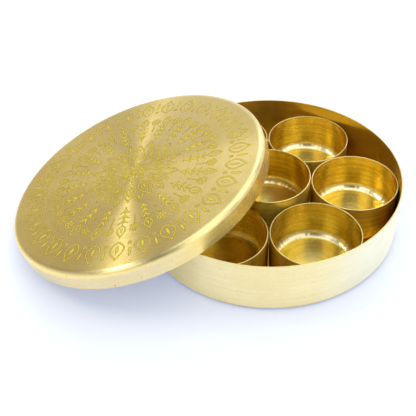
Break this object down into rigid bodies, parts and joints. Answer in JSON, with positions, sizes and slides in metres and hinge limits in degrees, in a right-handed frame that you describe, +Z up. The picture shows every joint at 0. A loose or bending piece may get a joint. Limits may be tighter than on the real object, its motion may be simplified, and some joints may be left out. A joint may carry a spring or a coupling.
{
  "type": "spice box",
  "caption": "Round brass spice box: a low open drum that holds loose straight-sided cups in a ring round a centre cup, with a lift-off lid leaning on its side.",
  "frame": {"origin": "on the table, in the middle of the rectangle that the box and its leaning lid take up together", "axes": "+Z up, +X from the leaning lid towards the open side of the box, +Y away from the viewer of the picture"},
  "size_m": [0.3004, 0.2078, 0.0721],
  "materials": {
    "box_brass": "satin, brushed round the wall",
    "lid_brass": "satin, turned on a lathe, with an etched ornament",
    "cup_brass": "bright satin, brushed round the wall"
  },
  "bodies": {
    "box": {"box": "box_brass"},
    "lid": {"lid": "lid_brass"},
    "cup_right": {"cup_right": "cup_brass"},
    "cup_back_right": {"cup_back_right": "cup_brass"},
    "cup_back_left": {"cup_back_left": "cup_brass"},
    "cup_left": {"cup_left": "cup_brass"},
    "cup_front_left": {"cup_front_left": "cup_brass"},
    "cup_front_right": {"cup_front_right": "cup_brass"},
    "cup_centre": {"cup_centre": "cup_brass"}
  },
  "joints": [
    {"name": "lid_lift", "type": "slide", "parent": "box", "child": "lid", "axis": [0, 0, 1], "range_m": [0, 0.1]},
    {"name": "cup_right_lift", "type": "slide", "parent": "box", "child": "cup_right", "axis": [0, 0, 1], "range_m": [0, 0.06]},
    {"name": "cup_back_right_lift", "type": "slide", "parent": "box", "child": "cup_back_right", "axis": [0, 0, 1], "range_m": [0, 0.06]},
    {"name": "cup_front_right_lift", "type": "slide", "parent": "box", "child": "cup_front_right", "axis": [0, 0, 1], "range_m": [0, 0.06]},
    {"name": "cup_back_left_lift", "type": "slide", "parent": "box", "child": "cup_back_left", "axis": [0, 0, 1], "range_m": [0, 0.0095]},
    {"name": "cup_left_lift", "type": "slide", "parent": "box", "child": "cup_left", "axis": [0, 0, 1], "range_m": [0, 0.0095]},
    {"name": "cup_front_left_lift", "type": "slide", "parent": "box", "child": "cup_front_left", "axis": [0, 0, 1], "range_m": [0, 0.0105]},
    {"name": "cup_centre_lift", "type": "slide", "parent": "box", "child": "cup_centre", "axis": [0, 0, 1], "range_m": [0, 0.015]}
  ]
}
